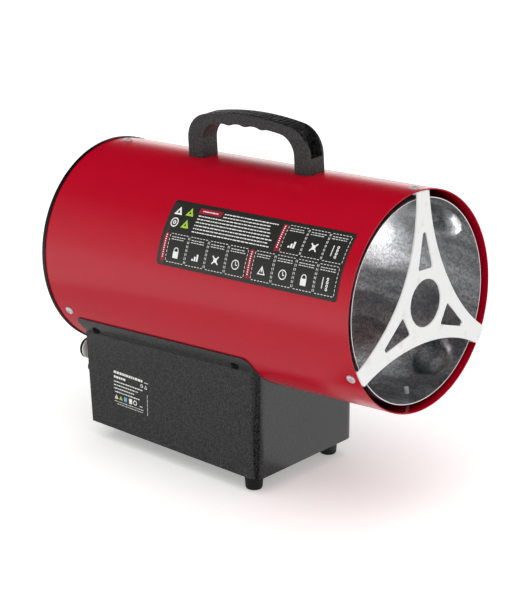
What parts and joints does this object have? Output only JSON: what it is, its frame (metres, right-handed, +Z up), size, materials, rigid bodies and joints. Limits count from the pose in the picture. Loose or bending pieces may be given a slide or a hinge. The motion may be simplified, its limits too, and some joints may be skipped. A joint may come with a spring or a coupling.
{
  "type": "space heater",
  "caption": "Forced-air gas space heater: a tubular casing with handle, front guard, fan and burner on a sheet-metal base with controls at the rear.",
  "frame": {"origin": "on the floor, under the middle of the outside box", "axes": "+Z up, +X towards the hot-air outlet, along the heater's length; the casing rises 3.6 degrees towards +X"},
  "size_m": [0.3881, 0.2018, 0.3397],
  "materials": {
    "red_paint": "glossy red powder coat",
    "black_sticker": "satin printed sticker",
    "galvanised_steel": "galvanised sheet with a faint spangle",
    "screw_steel": "zinc plated",
    "guard_paint": "satin light grey coat",
    "grille_paint": "satin black coat",
    "handle_plastic": "fine moulded grain",
    "motor_steel": "zinc plated pressed steel",
    "lamination_steel": "stacked laminations",
    "bush_bronze": "sintered bronze",
    "shaft_steel": "ground steel",
    "fan_aluminium": "pressed aluminium",
    "brass": "machined",
    "bracket_steel": "galvanised sheet",
    "burner_steel": "stainless, a little heat stained",
    "copper": "drawn copper tube",
    "ceramic": "glazed white ceramic",
    "lead_rubber": "silicone insulation",
    "black_plastic": "moulded",
    "base_paint": "textured charcoal powder coat",
    "floor_steel": "textured charcoal powder coat",
    "black_screw": "black finish",
    "foot_rubber": "moulded rubber",
    "nickel": "nickel plated",
    "light_plastic": "moulded",
    "red_plastic": "moulded"
  },
  "bodies": {
    "housing": {"outer_casing": "red_paint", "casing_label": "black_sticker", "combustion_chamber": "galvanised_steel", "chamber_screw": "screw_steel", "front_guard": "guard_paint", "guard_screws": "screw_steel", "rear_grille": "grille_paint", "rear_screws": "screw_steel", "handle": "handle_plastic", "handle_screws": "screw_steel", "motor_can": "motor_steel", "motor_front_cap": "motor_steel", "motor_screws": "screw_steel", "motor_stator": "lamination_steel", "motor_bushes": "bush_bronze", "burner_bracket": "bracket_steel", "bracket_screws": "screw_steel", "burner_cup": "burner_steel", "flame_disc": "burner_steel", "jet_holder": "brass", "jet_nut": "brass", "gas_jet": "brass", "thermocouple": "burner_steel", "thermocouple_lead": "copper", "electrode_ceramic": "ceramic", "electrode_wire": "burner_steel", "ignition_lead": "lead_rubber", "overheat_thermostat": "black_plastic", "base_shell": "base_paint", "base_floor": "floor_steel", "rear_panel": "base_paint", "panel_screws": "black_screw", "flange_screws": "black_screw", "feet": "foot_rubber", "foot_screws": "screw_steel", "gas_inlet": "brass", "inlet_nut": "brass", "supply_pipe": "copper", "gas_valve": "brass", "valve_nut": "nickel", "burner_pipe": "copper", "pipe_nuts": "brass", "piezo_body": "light_plastic", "piezo_nut": "black_plastic", "switch_body": "black_plastic", "cable_gland": "black_plastic", "gland_nut": "black_plastic", "terminal_block": "light_plastic"},
    "fan_rotor": {"motor_rotor": "lamination_steel", "motor_shaft": "shaft_steel", "fan_impeller": "fan_aluminium", "fan_nut": "brass"},
    "gas_button": {"gas_button": "black_plastic"},
    "piezo_button": {"piezo_button": "red_plastic"},
    "switch_rocker": {"switch_rocker": "red_plastic"}
  },
  "joints": [
    {"name": "fan_spin", "type": "hinge", "parent": "housing", "child": "fan_rotor", "pos_m": [-0.00021, 0, 0.1925], "axis": [0.998, 0, 0.0628], "continuous": true},
    {"name": "gas_button_push", "type": "slide", "parent": "housing", "child": "gas_button", "axis": [0.998, 0, 0.0628], "range_m": [0, 0.004], "stiffness_N_per_m": 1500, "springref_m": -0.001},
    {"name": "piezo_push", "type": "slide", "parent": "housing", "child": "piezo_button", "axis": [0.998, 0, 0.0628], "range_m": [0, 0.005], "stiffness_N_per_m": 1500, "springref_m": -0.001},
    {"name": "rocker_tilt", "type": "hinge", "parent": "housing", "child": "switch_rocker", "pos_m": [-0.15859, 0.034, 0.04226], "axis": [0.0628, 0, -0.998], "range_deg": [0, 24]}
  ]
}
